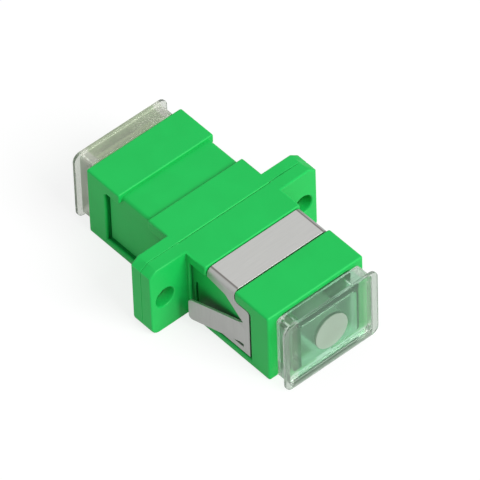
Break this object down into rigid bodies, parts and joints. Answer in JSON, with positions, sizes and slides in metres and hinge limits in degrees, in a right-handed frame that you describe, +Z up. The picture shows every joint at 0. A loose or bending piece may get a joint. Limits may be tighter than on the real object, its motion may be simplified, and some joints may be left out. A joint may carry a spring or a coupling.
{
  "type": "fibre optic adapter",
  "caption": "Flanged inline adapter that joins square push-pull fibre plugs, with a split sleeve, a folded panel clip and clear push-in dust caps.",
  "frame": {"origin": "on the optical axis in the joint plane of the flange, midway between the screw holes", "axes": "+X along the optical axis towards the end that carries the spring clip, +Z up through the wide face under the clip's strap, +Y along the flange"},
  "size_m": [0.0326, 0.0224, 0.0092],
  "materials": {
    "housing_plastic": "satin moulded plastic, bright green",
    "latch_plastic": "natural off-white moulded plastic",
    "sleeve_ceramic": "polished white ceramic",
    "clip_steel": "satin stainless spring strip",
    "cap_plastic": "clear soft plastic, slightly milky"
  },
  "bodies": {
    "adapter": {"housing_front": "housing_plastic", "housing_rear": "housing_plastic", "latch_front": "latch_plastic", "latch_rear": "latch_plastic", "alignment_sleeve": "sleeve_ceramic", "mounting_clip": "clip_steel"},
    "front_cap": {"dust_cap_front": "cap_plastic"},
    "rear_cap": {"dust_cap_rear": "cap_plastic"}
  },
  "joints": [
    {"name": "dust_cap_front_pull", "type": "slide", "parent": "adapter", "child": "front_cap", "axis": [1, 0, 0], "range_m": [0, 0.014]},
    {"name": "dust_cap_rear_pull", "type": "slide", "parent": "adapter", "child": "rear_cap", "axis": [-1, 0, 0], "range_m": [0, 0.014]}
  ]
}
